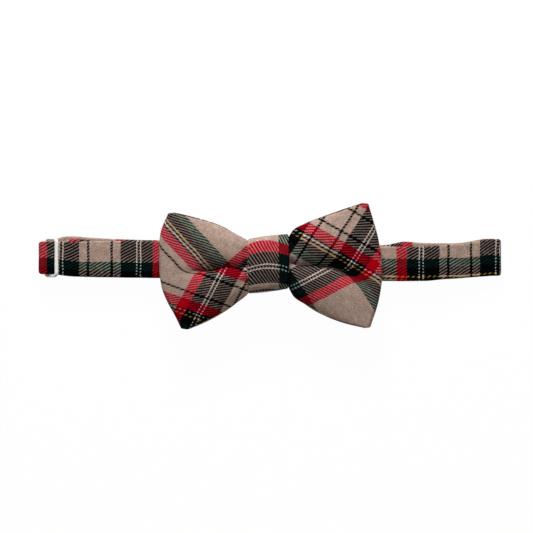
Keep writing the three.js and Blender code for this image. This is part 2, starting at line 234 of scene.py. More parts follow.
def rings_mesh(name, rings, cloth, closed=False):
    """A closed mesh through rings of points. cloth has a column more, and a row more if closed."""
    rings = np.asarray(rings, float)
    count, size = rings.shape[:2]
    spans = count if closed else count - 1
    i, j = np.meshgrid(np.arange(spans), np.arange(size), indexing="ij")
    i2, j2 = (i + 1) % count, (j + 1) % size
    quads = np.stack([i * size + j, i2 * size + j, i2 * size + j2, i * size + j2], -1).reshape(-1, 4)
    places = np.stack([cloth[i, j], cloth[i + 1, j], cloth[i + 1, j + 1], cloth[i, j + 1]], 2).reshape(-1, 2)
    points = rings.reshape(-1, 3) * MM
    a, b, c, d = (points[quads[:, k]] for k in range(4))
    volume = np.einsum("ij,ij->", a, np.cross(b, c)) + np.einsum("ij,ij->", a, np.cross(c, d))
    faces = quads.tolist()
    if not closed:
        faces += [list(range(size))[::-1], list(range((count - 1) * size, count * size))]
        places = np.concatenate([places, cloth[0, :size][::-1], cloth[count - 1, :size]])
    if volume < 0:
        faces = [face[::-1] for face in faces]
        starts = np.cumsum([0] + [len(face) for face in faces])
        places = np.concatenate([places[starts[k]:starts[k + 1]][::-1] for k in range(len(faces))])
    mesh = bpy.data.meshes.new(name)
    mesh.from_pydata(points.tolist(), [], faces)
    mesh.uv_layers.new(name="Cloth").data.foreach_set("uv", places.astype(np.float32).ravel())
    is_smooth = np.ones(len(faces), bool)
    if not closed:
        is_smooth[-2:] = False
    mesh.polygons.foreach_set("use_smooth", is_smooth)
    mesh.update()
    return mesh


def tube_rings(path, radius, sides):
    """Rings round a path of points, turned as little as possible. Each point may have its own radius."""
    path = np.asarray(path, float)
    radius = np.broadcast_to(radius, len(path))
    tangent = np.gradient(path, axis=0)
    tangent /= np.linalg.norm(tangent, axis=1)[:, None]
    oblique = (0.13, 0.31, 0.94)  # along no path here
    normal = np.cross(tangent[0], oblique)
    angles = np.arange(sides) * 2 * math.pi / sides
    rings = []
    for point, along, r in zip(path, tangent, radius):
        normal = normal - along * (normal @ along)
        normal = normal / np.linalg.norm(normal)
        across = np.cross(along, normal)
        rings.append(point + r * (np.outer(np.cos(angles), normal) + np.outer(np.sin(angles), across)))
    return np.array(rings)


def tube_cloth(rings, closed=False):
    """Places along and round a tube, in millimetres, for its material."""
    centres = rings.mean(1)
    steps = np.linalg.norm(np.diff(centres, axis=0), axis=1)
    along = np.concatenate([[0], np.cumsum(steps)])
    if closed:
        along = np.append(along, along[-1] + steps[-1])
    radius = np.linalg.norm(rings[0, 0] - centres[0])
    round_it = np.linspace(0, 2 * math.pi * radius, rings.shape[1] + 1)
    return np.stack(np.meshgrid(along, round_it, indexing="ij"), -1)


def joined_mesh(name, meshes):
    """One mesh from several, keeping their places on the cloth."""
    points, faces, places, count = [], [], [], 0
    for mesh in meshes:
        co = np.zeros(len(mesh.vertices) * 3, np.float32)
        mesh.vertices.foreach_get("co", co)
        uv = np.zeros(len(mesh.loops) * 2, np.float32)
        mesh.uv_layers["Cloth"].data.foreach_get("uv", uv)
        points.append(co.reshape(-1, 3))
        places.append(uv)
        faces += [[count + v for v in face.vertices] for face in mesh.polygons]
        count += len(mesh.vertices)
        bpy.data.meshes.remove(mesh)
    whole = bpy.data.meshes.new(name)
    whole.from_pydata(np.concatenate(points).tolist(), [], faces)
    whole.uv_layers.new(name="Cloth").data.foreach_set("uv", np.concatenate(places))
    whole.polygons.foreach_set("use_smooth", np.ones(len(faces), bool))
    whole.update()
    return whole


# ---- Materials ----
class Shader:
    """Builds a node material with short calls. An input may be a number, a tuple or another node's socket."""

    def __init__(self, name):
        self.material = bpy.data.materials.new(name)
        self.material.use_nodes = True
        self.tree = self.material.node_tree
        self.tree.nodes.clear()

    def add(self, kind, inputs=(), out=0, **settings):
        node = self.tree.nodes.new("ShaderNode" + kind)
        for key, value in settings.items():
            setattr(node, key, value)
        for key, value in dict(inputs).items():
            if isinstance(value, bpy.types.NodeSocket):
                self.tree.links.new(value, node.inputs[key])
            else:
                node.inputs[key].default_value = value
        return node.outputs[out] if len(node.outputs) else None

    def math(self, operation, *values, clamp=False):
        return self.add("Math", dict(enumerate(values)), operation=operation, use_clamp=clamp)

    def mix(self, share, a, b):
        return self.add("Mix", {0: share, 6: a, 7: b}, out=2, data_type="RGBA")

    def between(self, share, a, b):
        return self.add("Mix", {0: share, 2: a, 3: b}, data_type="FLOAT")

    def noise(self, vector, scale, detail=2.0, roughness=0.5, out=0):
        inputs = {"Vector": vector, "Scale": scale, "Detail": detail, "Roughness": roughness}
        return self.add("TexNoise", inputs, out=out, noise_dimensions="3D")

    def ramp(self, value, stops, interpolation="LINEAR"):
        socket = self.add("ValToRGB", {"Fac": value})
        ramp = socket.node.color_ramp
        ramp.interpolation = interpolation
        while len(ramp.elements) < len(stops):
            ramp.elements.new(1.0)
        for element, (position, shade) in zip(ramp.elements, stops):
            element.position = position
            element.color = shade
        return socket

    def finish(self, surface):
        self.add("OutputMaterial", {"Surface": surface})
        return self.material

    def principled(self, **inputs):
        names = {key.replace("_", " "): value for key, value in inputs.items()}
        return self.add("BsdfPrincipled", names)


def cloth_place(s):
    """The place on the flat cloth in millimetres, as it is and a little wavy as hand-pressed cloth is."""
    place = s.add("UVMap", uv_map="Cloth")
    long_wave = s.noise(place, 0.12, detail=1.0, out=1)
    short_wave = s.noise(place, 2.6, detail=2.0, out=1)
    half = (0.5, 0.5, 0.5)
    moved = place
    for texture, reach in ((long_wave, 0.9), (short_wave, 0.30)):
        centred = s.add("VectorMath", {0: texture, 1: half}, operation="SUBTRACT")
        scaled = s.add("VectorMath", {0: centred, "Scale": reach}, operation="SCALE")
        moved = s.add("VectorMath", {0: moved, 1: scaled}, operation="ADD")
    return place, moved


def threads(s, value, plan):
    """Number of the thread at a place, how far across it the place is, and its dye density."""
    turns = s.math("DIVIDE", value, plan["pitch"])
    number = s.math("FLOOR", turns)
    across = s.math("SUBTRACT", turns, number)
    centre = s.math("MULTIPLY", s.math("ADD", number, 0.5), plan["pitch"])
    mirrored = s.math("PINGPONG", s.math("ADD", centre, plan["shift"]), plan["half"])
    share = s.math("DIVIDE", mirrored, plan["half"])
    stops = [(at / plan["half"], density(*DYES[dye])) for at, dye in plan["stripes"]]
    return number, across, s.ramp(share, stops, "CONSTANT")


def rounded_thread(s, across):
    """Height of a round thread across its width, from 0 at its edges to 1."""
    offset = s.math("SUBTRACT", s.math("MULTIPLY", across, 2.0), 1.0)
    return s.math("SUBTRACT", 1.0, s.math("MULTIPLY", offset, offset))


def twill(s, moved):
    """Two-over-two twill of dyed threads: its dye, and how high the upper thread stands."""
    float_slant, warp_up_of_four = 0.6, (1.54, 2.46)
    cover_over, cover_under = (0.88, 0.96), (0.04, 0.12)
    split = s.add("SeparateXYZ", {0: moved})
    warp_number, warp_across, warp_dye = threads(s, split, WARP)
    weft_number, weft_across, weft_dye = threads(s, split.node.outputs[1], WEFT)

    # The floats' ends slant. Each pair above is for a warp that is the paler or the darker thread,
    # because a dark thread covers more of its neighbours than a pale one.
    warp_depth, weft_depth = (s.add("SeparateColor", {0: socket}, out=1) for socket in (warp_dye, weft_dye))
    warp_darker = s.math("GREATER_THAN", warp_depth, weft_depth)
    slant = s.math("MULTIPLY", s.math("SUBTRACT", warp_across, weft_across), float_slant)
    step = s.math("ADD", s.math("SUBTRACT", warp_number, weft_number), s.math("ADD", slant, 0.5))
    phase = s.math("FLOORED_MODULO", step, 4.0)
    warp_up = s.math("LESS_THAN", phase, s.between(warp_darker, *warp_up_of_four))
    over, under = s.between(warp_darker, *cover_over), s.between(warp_darker, *cover_under)
    dye = s.mix(s.between(warp_up, under, over), weft_dye, warp_dye)
    standing = s.between(warp_up, rounded_thread(s, weft_across), rounded_thread(s, warp_across))
    return dye, standing


def lengthwise_noise(s, place, stretch, scale, detail, roughness):
    """A noise drawn out along the weft or the warp, as brushed fibres are."""
    drawn = s.add("VectorMath", {0: place, 1: (1.0, stretch, 1.0)}, operation="MULTIPLY")
    return s.noise(drawn, scale, detail, roughness)


def nap_hairs(s, place, dye):
    """Camel fibres from the nap, lying across the dyed threads."""
    level, cover = 0.71, 0.14
    streaks = lengthwise_noise(s, place, 0.45, 5.0, 3.0, 0.7)
    hairs = s.math("MULTIPLY", s.math("GREATER_THAN", streaks, level), cover)
    return s.mix(hairs, dye, density(150, 132, 120))


def nap_tone(s, place):
    """What the brushed surface adds to the dye density from place to place. Worn spots are a little paler."""
    mottling, graining, middle = 0.11, 0.34, 0.225
    fleck_level, fleck_strength = 0.62, 0.35
    mottle = s.noise(place, 0.30, 3.0, 0.6)
    grain = s.noise(place, 1.25, 4.0, 0.75)
    tone = s.math("ADD", s.math("MULTIPLY", mottle, mottling), s.math("MULTIPLY", grain, graining))
    tone = s.math("SUBTRACT", tone, middle)
    flecks = lengthwise_noise(s, place, 0.6, 1.5, 2.0, 0.6)
    pale = s.math("MULTIPLY", s.math("SUBTRACT", flecks, fleck_level, clamp=True), fleck_strength)
    return s.math("SUBTRACT", tone, pale)


def plaid_flannel():
    """Brushed plaid: dyed threads in a twill, a nap that stands up a little, and painted shade in the gaps between
    threads.
    """
    thread_height, nap_height, gap_shade = 0.55, 0.7, 0.22
    s = Shader("plaid_flannel")
    place, moved = cloth_place(s)
    dye, standing = twill(s, moved)
    split_dye = s.add("SeparateColor", {0: nap_hairs(s, place, dye)}).node
    tone = nap_tone(s, place)
    channels = []
    for k in range(3):
        depth = s.math("ADD", split_dye.outputs[k], tone)
        channels.append(s.math("EXPONENT", s.math("MULTIPLY", depth, -DENSITY_SPAN)))
    base = s.add("CombineColor", dict(enumerate(channels)))
    # painted shade: the colour is mixed towards black where the upper thread is low, in the gaps between threads
    base = s.mix(s.math("MULTIPLY", s.math("SUBTRACT", 1.0, standing), gap_shade), base, (0.0, 0.0, 0.0, 1.0))

    nap = s.noise(place, 4.5, 3.0, 0.65)
    height = s.math("ADD", s.math("MULTIPLY", standing, thread_height), s.math("MULTIPLY", nap, nap_height))
    bump = s.add("Bump", {"Strength": 0.8, "Distance": 0.00030, "Height": height})
    surface = s.principled(
        Base_Color=base,
        Roughness=s.between(nap, 0.82, 0.98),
        Specular_IOR_Level=0.015,
        Sheen_Weight=0.01,
        Sheen_Roughness=0.35,
        Sheen_Tint=(1.0, 0.95, 0.92, 1.0),
        Normal=bump,
    )
    return s.finish(surface)


def white_lining():
    """Pressed white stiffener: short fibres with a faint square weave."""
    s = Shader("lining")
    place = s.add("UVMap", uv_map="Cloth")
    split = s.add("SeparateXYZ", {0: place})
    rate = 9.0  # of the weave's waves, in radians a millimetre
    waves = [s.math("SINE", s.math("MULTIPLY", socket, rate)) for socket in (split, split.node.outputs[1])]
    weave = s.math("MULTIPLY", waves[0], waves[1])
    fibres = s.noise(place, 2.2, 4.0, 0.7)
    base = s.ramp(fibres, [(0.3, colour(214, 209, 198)), (0.75, colour(240, 237, 229))])
    height = s.math("ADD", s.math("MULTIPLY", weave, 0.3), fibres)
    bump = s.add("Bump", {"Strength": 0.5, "Distance": 0.0001, "Height": height})
    return s.finish(s.principled(Base_Color=base, Roughness=0.93, Sheen_Weight=0.15, Normal=bump))


def sewing_thread():
    """Twisted camel thread: slanting strands along each stitch, with painted shade in the grooves between strands and a
    painted highlight on their crowns.
    """
    s = Shader("thread")
    place = s.add("UVMap", uv_map="Cloth")
    split = s.add("SeparateXYZ", {0: place})
    along_rate, round_rate = 9.0, 14.0
    along = s.math("MULTIPLY", split, along_rate)
    round_it = s.math("MULTIPLY", split.node.outputs[1], round_rate)
    slant = s.math("ADD", along, round_it)
    strand = s.math("ADD", s.math("MULTIPLY", s.math("SINE", slant), 0.5), 0.5)
    fibres = s.noise(place, 6.0, 3.0, 0.6)
    # painted shade and highlight: darker in the twist's grooves and lighter on the strands' crowns, mixed with random
    # fibre tone
    base = s.ramp(
        s.math("ADD", s.math("MULTIPLY", strand, 0.6), s.math("MULTIPLY", fibres, 0.4)),
        [(0.15, colour(128, 108, 92)), (0.85, colour(190, 170, 150))],
    )
    bump = s.add("Bump", {"Strength": 0.7, "Distance": 0.00008, "Height": strand})
    return s.finish(s.principled(Base_Color=base, Roughness=0.7, Sheen_Weight=0.2, Normal=bump))


def white_metal():
    """Nylon-coated steel wire: glossy off-white, faintly dimpled, scuffed to grey where it rubs."""
    s = Shader("white_metal")
    place = s.add("TexCoord", out=3)
    dimples = s.noise(place, 900.0, 2.0, 0.5)
    scuffs = s.noise(place, 420.0, 5.0, 0.75)
    worn = s.ramp(scuffs, [(0.62, (0.0, 0.0, 0.0, 1.0)), (0.70, (1.0, 1.0, 1.0, 1.0))])
    clean = s.ramp(dimples, [(0.3, colour(222, 221, 217)), (0.8, colour(242, 241, 238))])
    base = s.mix(worn, clean, colour(176, 175, 172))
    rough = s.between(worn, 0.24, 0.52)
    bump = s.add("Bump", {"Strength": 0.25, "Distance": 0.0001, "Height": dimples})
    coat = {"Coat_Weight": 0.35, "Coat_Roughness": 0.12}
    return s.finish(s.principled(Base_Color=base, Roughness=rough, Normal=bump, **coat))


PLAID = plaid_flannel()
LINING = white_lining()
THREAD = sewing_thread()
METAL = white_metal()


# ---- Neck band: one long strip, from the hook's tail to the slide ring's tail ----
front_line = through([
    (-116, 4.1), (-108, 4.0), (-100, 3.5), (-82, 3.35), (-58, 3.15), (0, 2.6),
    (58, 1.0), (66, 0.95), (78, 1.1), (86, 1.9), (100, 2.9), (110, 4.2), (116, 4.3),
])
rear_left_line = through([
    (-116, 4.1), (-110, 4.9), (-103, 6.6), (-90, 5.8), (-82, 5.2), (-58, 4.5), (-40, 3.6), (0, 2.8), (36, 2.4),
])
inner_line = through([(-106, 4.6), (-100, 5.7), (-95, 5.6), (-88, 4.7), (-60, 3.4), (0, 2.9), (36, 2.4)])
rear_right_line = through([
    (50, 2.4), (60, 3.4), (65, 4.0), (70, 3.7), (76, 3.1), (97, 3.2), (107, 4.4), (116, 4.3),
])
front_width = through([(-116, 16.5), (-108, 16.6), (-94, 17.6), (-72, 18.4), (-40, 17.6), (0, 17.2), (40, 17.2)])
# How far the strip's pattern sits below its middle line.
weft_drift = through([
    (-116, 0.0), (-110, 0.1), (-100, 1.05), (-85, 1.3), (-60, 1.6),
    (0, -0.5), (60, -2.75), (85, -2.1), (105, -1.2), (116, -1.1),
])

REAR_Z = BAND_THICK / 2  # middle of the runs that lie on the table
HOOK_MIDDLE = float(rear_left_line(EYE_TURN[0]))
SLIDE_MIDDLE = float(front_line(LEFT_TURN[0]))
HOOK_TAIL_X, SLIDE_TAIL_X = 60.2, -101.2  # where the turned-back plies end
RIGHT_JOIN_X, REAR_JOIN_X = 80, -40  # where one stretch of the strip becomes the next
SEWN_STEP = 0.4  # between the stations of a sewn ply


def front_z(x):
    at_ring, in_knot, at_fold = 6.0, 7.1, 3.5  # underside of the front run
    left_part = lerp(at_ring, in_knot, smooth(x, -70, -50))
    return lerp(left_part, at_fold, smooth(x, 76, 109)) + BAND_THICK / 2


def inner_z(x):
    lying, at_eye = 3.0, 3.8  # underside of the inner run
    return lerp(lying, at_eye, smooth(x, 12, 33)) + BAND_THICK / 2


def rear_width(x):
    return lerp(RING_WIDTH, BAND_WIDTH, smooth(x, -104, -90))


def flared_width(x):
    return lerp(BAND_WIDTH + 0.2, BAND_WIDTH + FOLD_FLARE, smooth(x, 97, 109))


def narrowing_width(x):
    return lerp(BAND_WIDTH, SEWN_WIDTH, smooth(x, 10, 30))


def straight(x0, x1, z, middle, width, thick, step=0.7):
    """Stations of a run from x0 to x1: x, z, middle line, width and thickness."""
    xs = np.linspace(x0, x1, max(2, round(abs(x1 - x0) / step) + 1))
    columns = [xs] + [np.broadcast_to(f(xs) if callable(f) else f, xs.shape) for f in (z, middle, width, thick)]
    return np.stack(columns, 1)


def arc(centre, start, end, middle, width, thick, steps=16):
    """Stations of a bend about a Y axis, from one angle to another."""
    x, z, radius = centre
    angles = np.linspace(start, end, steps + 1)
    stations = np.zeros((len(angles), 5))
    stations[:, 0] = x + radius * np.cos(angles)
    stations[:, 1] = z + radius * np.sin(angles)
    corner = FOLD_ROUND * (1 - np.sqrt(1 - np.abs(np.cos(angles)) ** 6))
    stations[:, 2:] = middle, width, thick
    stations[:, 3] -= 2 * corner
    return stations


def bar_end(bar, angle):
    x, z, radius = bar
    return x + radius * math.cos(angle), z + radius * math.sin(angle)


def sewn_loop(bar, middle, width):
    """Stations of the ply's bend round a bar, between the two plies that leave it."""
    return arc(bar, LOOP_LEAN, 2 * math.pi - LOOP_LEAN, middle, width, PLY_THICK, steps=24)[1:-1]


def hook_end():
    """From the tail sewn down by the hook, round the hook's bar, and along the table behind the right wing."""
    tail_z, ply_z, seam_middle = 1.72, 0.66, 3.3
    top_x, top_z = bar_end(HOOK_BAR, LOOP_LEAN)
    low_x, low_z = bar_end(HOOK_BAR, -LOOP_LEAN)
    upper_tail = straight(
        HOOK_TAIL_X, top_x, lambda x: lerp(top_z, tail_z, smooth(x, top_x - 3, HOOK_TAIL_X)), HOOK_MIDDLE,
        TURNED_WIDTH, lambda x: lerp(PLY_THICK, TAIL_THICK, smooth(x, top_x, HOOK_TAIL_X)), SEWN_STEP,
    )
    lower_ply = straight(
        low_x, HOOK_TAIL_X, lambda x: lerp(low_z, ply_z, smooth(x, low_x, low_x + 3)),
        lambda x: lerp(HOOK_MIDDLE, seam_middle, smooth(x, low_x + 2, 64)), SEWN_WIDTH, PLY_THICK, SEWN_STEP,
    )
    rear_right = straight(
        HOOK_TAIL_X + 1.4, RIGHT_JOIN_X, REAR_Z,
        lambda x: lerp(seam_middle, rear_right_line(x), smooth(x, 61, 68)),
        lambda x: lerp(SEWN_WIDTH, BAND_WIDTH, smooth(x, 60, 68)), BAND_THICK,
    )
    return np.concatenate([upper_tail, sewn_loop(HOOK_BAR, HOOK_MIDDLE, SEWN_WIDTH), lower_ply, rear_right])


def right_loop():
    bend_x = RIGHT_TURN[0] - 0.5
    middle = float(front_line(RIGHT_TURN[0]))
    return np.concatenate([
        straight(RIGHT_JOIN_X, bend_x, REAR_Z, rear_right_line, flared_width, BAND_THICK),
        arc(RIGHT_TURN, -QUARTER, QUARTER, middle, BAND_WIDTH + FOLD_FLARE, BAND_THICK),
        straight(bend_x, KNOT_X, front_z, front_line, flared_width, BAND_THICK),
    ])


def left_loop():
    bend_x = LEFT_TURN[0] + 0.5
    return np.concatenate([
        straight(KNOT_X, bend_x, front_z, front_line, front_width, BAND_THICK),
        arc(LEFT_TURN, QUARTER, 3 * QUARTER, SLIDE_MIDDLE, RING_WIDTH, BAND_THICK, steps=24),
        straight(bend_x, REAR_JOIN_X, REAR_Z, rear_left_line, rear_width, BAND_THICK),
    ])


def eye_loop():
    bend_x = EYE_TURN[0] - 0.5
    return np.concatenate([
        straight(REAR_JOIN_X, bend_x, REAR_Z, rear_left_line, narrowing_width, BAND_THICK),
        arc(EYE_TURN, -QUARTER, QUARTER, HOOK_MIDDLE, SEWN_WIDTH, BAND_THICK),
        straight(bend_x, REAR_JOIN_X, inner_z, inner_line, SEWN_WIDTH, BAND_THICK),
    ])


def slider_end():
    """Along the inner layer to the slide ring, round its hidden bar, and back to the tail sewn down below."""
    seam_x, seam_z, tail_z = -98, 3.7, 3.05
    top_x, top_z = bar_end(SLIDE_BAR, LOOP_LEAN)
    low_x, low_z = bar_end(SLIDE_BAR, -LOOP_LEAN)
    inner = straight(REAR_JOIN_X, seam_x + 0.6, inner_z, inner_line, SEWN_WIDTH, BAND_THICK)
    upper_ply = straight(
        seam_x, top_x, lambda x: lerp(top_z, seam_z, smooth(x, top_x - 4, seam_x)),
        lambda x: lerp(SLIDE_MIDDLE, inner_line(x), smooth(x, -107, seam_x)),
        lambda x: lerp(TURNED_WIDTH, SEWN_WIDTH, smooth(x, -110, -103)),
        lambda x: lerp(PLY_THICK, BAND_THICK, smooth(x, -101, seam_x)), SEWN_STEP,
    )
    lower_tail = straight(
        low_x, SLIDE_TAIL_X, lambda x: lerp(low_z, tail_z, smooth(x, low_x - 3, SLIDE_TAIL_X)), SLIDE_MIDDLE,
        TURNED_WIDTH, lambda x: lerp(PLY_THICK, TAIL_THICK, smooth(x, low_x, SLIDE_TAIL_X)), SEWN_STEP,
    )
    return np.concatenate([inner, upper_ply, sewn_loop(SLIDE_BAR, SLIDE_MIDDLE, TURNED_WIDTH), lower_tail])


def band_stations():
    """The strip's stations, in five stretches that each follow their own part of the mechanism."""
    return {
        "band_hook_end": hook_end(), "band_right_loop": right_loop(), "band_left_loop": left_loop(),
        "band_eye_loop": eye_loop(), "band_slider_end": slider_end(),
    }


def strip_section(width, thick):
    """A flat strip's section with round edges: across, outwards, and the distance round it."""
    face_points, bend_points = 21, 5
    edge = thick / 2
    half = width / 2 - edge
    face = np.linspace(-half, half, face_points)
    bend = np.linspace(0, math.pi, bend_points + 2)[1:-1]
    flat = np.full(face_points, edge)
    across = np.concatenate([face, half + edge * np.sin(bend), face[::-1], -half - edge * np.sin(bend)])
    outward = np.concatenate([flat, edge * np.cos(bend), -flat, -edge * np.cos(bend)])
    closed = np.stack([np.append(across, across[0]), np.append(outward, outward[0])], 1)
    steps = np.linalg.norm(np.diff(closed, axis=0), axis=1)
    around = np.concatenate([[0], np.cumsum(steps)]) - half
    return across, outward, around


def band_pieces():
    """The strip's five pieces, with one run of cloth places along all of them."""
    parts = band_stations()
    whole = np.concatenate(list(parts.values()))
    keep = np.ones(len(whole), bool)
    keep[1:] = np.linalg.norm(np.diff(whole[:, :2], axis=0), axis=1) > 1e-6
    line = whole[keep][:, :2]
    index = np.cumsum(keep) - 1
    tangent = np.gradient(line, axis=0)
    tangent /= np.linalg.norm(tangent, axis=1)[:, None]
    normal = np.stack([tangent[:, 1], -tangent[:, 0]], 1)
    along = np.concatenate([[0], np.cumsum(np.linalg.norm(np.diff(line, axis=0), axis=1))])
    on_front = np.argmin(np.hypot(line[:, 0] - KNOT_X, line[:, 1] - front_z(KNOT_X)))
    warp = KNOT_X + LEFT_WARP - (along - along[on_front])
    warp = warp + np.where(np.arange(len(warp)) < on_front, RIGHT_WARP - LEFT_WARP, 0.0)
    behind = (np.arange(len(warp)) < on_front) & (line[:, 1] < RIGHT_TURN[1])
    warp = warp + np.where(behind, REAR_RIGHT_SLIP * (1 - smooth(line[:, 0], 78, 112)), 0.0)
    inner_start = index[-len(parts["band_slider_end"])]
    warp[inner_start:] += line[inner_start, 0] + INNER_WARP - warp[inner_start]

    pieces, start = {}, 0
    for name, stations in parts.items():
        rows = index[start:start + len(stations)]
        start += len(stations)
        first = np.concatenate([[True], np.diff(rows) > 0])
        pieces[name] = strip_piece(name, stations[first], rows[first], normal, warp)
    return pieces


def strip_piece(name, stations, rows, normal, warp):
    """One stretch of the strip, its edges a little wavy and its faces a little uneven."""
    waviness, unevenness = 0.16, 0.07
    rings, cloth = [], []
    for (x, z, middle, width, thick), row in zip(stations, rows):
        across, outwards, around = strip_section(width, thick)
        place = np.full_like(across, warp[row])
        wobble = waviness * ripple(place, np.sign(across) * 9.0, 14.0, 0.4)
        out = outwards + unevenness * ripple(place, across, 8.0, 1.9)
        nx, nz = normal[row]
        side = across + wobble * np.abs(across) / (width / 2)
        rings.append(np.stack([x + out * nx, middle + side, z + out * nz], 1))
        weft = around + weft_drift(x)
        cloth.append(np.stack([np.full_like(weft, warp[row]), weft], 1))
    return new_piece(name, rings_mesh(name, rings, np.array(cloth)), PLAID)


def dress_band():
    pieces = band_pieces()
    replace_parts(pieces["band_left_loop"], "band_front", "band_left_turn", "band_rear_left")
    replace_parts(pieces["band_right_loop"], "band_right_turn")
    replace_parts(pieces["band_eye_loop"], "band_eye_turn", "band_inner")
    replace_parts(pieces["band_slider_end"], "band_slider_end")
    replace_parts(pieces["band_hook_end"], "band_hook_end", "band_rear_right")
    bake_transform(pieces["band_left_loop"])
    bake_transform(pieces["band_right_loop"])
    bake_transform(pieces["band_eye_loop"])
    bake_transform(pieces["band_slider_end"])
    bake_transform(pieces["band_hook_end"])


# ---- Bow wings ----
FRONT_ROWS, FOLD_ROWS, BACK_ROWS, ACROSS = 72, 14, 44, 97
WING_START = 0.1  # from the bow's middle, where the two wings' cloth meets
COVER_THICK = 0.7
LINING_INSET, LINING_THICK = 0.85, 0.4  # below the wing's outer surface
FACING_INSET, FACING_THICK = 1.4, 0.5
PLY_MARGIN = 7  # columns of the grid that the inner plies leave free at each long edge
LIP = 5  # columns over which the cover is rolled to the inside of the other plies


def wing_row(k):
    """How far a row lies out towards the outer fold, and how far round it, each from 0 to 1."""
    if k <= FRONT_ROWS:
        return k / FRONT_ROWS, 0.0
    if k <= FRONT_ROWS + FOLD_ROWS:
        return 1.0, (k - FRONT_ROWS) / FOLD_ROWS
    return 1 - (k - FRONT_ROWS - FOLD_ROWS) / BACK_ROWS, 1.0


def wing_grid(name):
    """The wing's outer surface, in rows from the knot round the outer fold and back, and its heights before the lip."""
    wing = WINGS[name]
    side = wing["side"]
    top, bottom, reach = through(wing["top"]), through(wing["bottom"]), through(wing["reach"])
    t = np.linspace(0, 1, ACROSS)
    v = t - 0.6 * np.sin(4 * math.pi * t) / (4 * math.pi)  # closer at the edges and the crease
    arch = np.sqrt(np.sin(math.pi * np.clip(v, 1e-4, 1 - 1e-4)))
    rows, level_rows = [], []
    for k in range(FRONT_ROWS + FOLD_ROWS + BACK_ROWS + 1):
        out, turn = wing_row(k)
        hang = 0.0
        distance = WING_START + out * (reach(v) - EDGE_DEPTH - WING_START)
        rim = EDGE_ROLL * float(smooth(out, 0.12, 0.4))
        y = lerp(bottom(out * float(reach(0))) + rim, top(out * float(reach(1))) - rim, v)
        core = lerp(BOUND_DEPTH, KNOT_DEPTH, smooth(distance, 6, KNOT_WIDTH / 2))
        plain = lerp(core * (0.58 + 0.42 * arch), EDGE_DEPTH, smooth(out, 0.3, 1))
        if 0 < turn < 1:
            angle = math.pi * (0.5 - turn)
            distance = distance + EDGE_DEPTH * math.cos(angle)
            height = EDGE_DEPTH * math.sin(angle) * np.ones_like(v)
        elif turn == 0:
            height = plain + wing_relief(wing, out, distance, v, arch, y)
            off = v - through(wing["crease"])(distance)
            lip = smooth(off, 0.0, 0.045) * (1 - smooth(off, 0.06, 0.24))
            hang = OVERHANG * lip * (1 - smooth(out, 0.42, 0.85)) * smooth(distance, 9, 15)
        else:
            height = -plain
        level_rows.append(y)
        rows.append(np.stack([BOW_X + side * distance, y - hang, BOW_MID_Z + height], 1))
    return v, np.array(rows), np.array(level_rows)


def wing_relief(wing, out, distance, v, arch, y):
    """How the front cloth stands off its plain shape: two lobes, the crease between them and small gathers."""
    groove_floor = 0.008  # half the width of the crease's flat bottom, as a share of the wing's height
    groove_share, under_lobes = 0.93, 4.2  # what the crease takes of the lobes' height and more
    gather_height, gathers_across, swell_height = 0.34, 34, 0.45
    off = v - through(wing["crease"])(distance)
    free = smooth(distance, KNOT_WIDTH / 2 - 1.5, 17.5)
    lobes = PUFF * free * math.sin(math.pi * min(1, out**0.9)) * arch
    width = lerp(0.085, 0.16, float(smooth(out, 0.2, 0.85)))
    groove = np.exp(-(np.sqrt(off**2 + groove_floor**2) - groove_floor) / width)
    strength = (1 - smooth(out, 0.5, 0.98)) * smooth(distance, 6, 12)
    crease = groove_share * (lobes + under_lobes) * groove * strength
    fading = np.exp(-np.maximum(distance - 10, 0) / 11)
    gathers = gather_height * np.cos(off * gathers_across + 0.8) * fading * smooth(distance, 7, 12) * arch
    loose = smooth(distance, 14, 26) * (1 - smooth(out, 0.8, 1.0)) * arch
    swell = swell_height * ripple(distance, y, 17.0, 2.3) * loose
    return lobes - crease + gathers + swell


def lobe_cloth(name, lobe, x, y):
    """The two cloth places of points on a lobe, along the warp and the weft."""
    return [
        scale * (x * math.cos(math.radians(angle)) + y * math.sin(math.radians(angle))) + offset
        for scale, angle, offset in LOBE_CLOTH[(name, lobe)]
    ]


def wing_cloth(name, v, grid, level):
    """Where each point of the wing lies on the flat cloth, which runs on past the outer fold."""
    wing = WINGS[name]
    side = wing["side"]
    x, y = grid[:, :, 0].copy(), grid[:, :, 1]
    steps = np.linalg.norm(np.diff(grid[:, :, [0, 2]], axis=0), axis=2)
    run = np.cumsum(steps[FRONT_ROWS:], axis=0)
    x[FRONT_ROWS + 1:] = x[FRONT_ROWS] + side * run
    distance = np.abs(grid[:, :, 0] - BOW_X)
    crease = through(wing["crease"])(distance[:, ACROSS // 2])
    crease_y = np.stack([np.interp(crease[k], v, level[k]) for k in range(len(y))])
    half_width = lerp(0.8, 5.0, smooth(distance, 30, 54))
    rise = level - crease_y[:, None]
    upper = smooth(rise / half_width, -1, 1)
    above, below = lobe_cloth(name, "upper", x, y), lobe_cloth(name, "lower", x, y)
    tuck = wing["tuck"] * np.clip(TUCK_HEIGHT - rise, 0, TUCK_HEIGHT) ** 2
    above[0] = above[0] + tuck * smooth(distance, 14, 24) * (1 - smooth(distance, 44, 54))
    return np.stack([lerp(below[k], above[k], upper) for k in range(2)], -1)


def grid_normals(grid):
    along, across = np.gradient(grid, axis=0), np.gradient(grid, axis=1)
    normal = np.cross(across, along)
    normal /= np.linalg.norm(normal, axis=2)[:, :, None]
    return normal


def outward(grid):
    """Unit normals of a wing's outer surface, pointing away from the inside of the bow."""
    normal = grid_normals(grid)
    return normal if normal[FRONT_ROWS // 2, ACROSS // 4, 2] > 0 else -normal


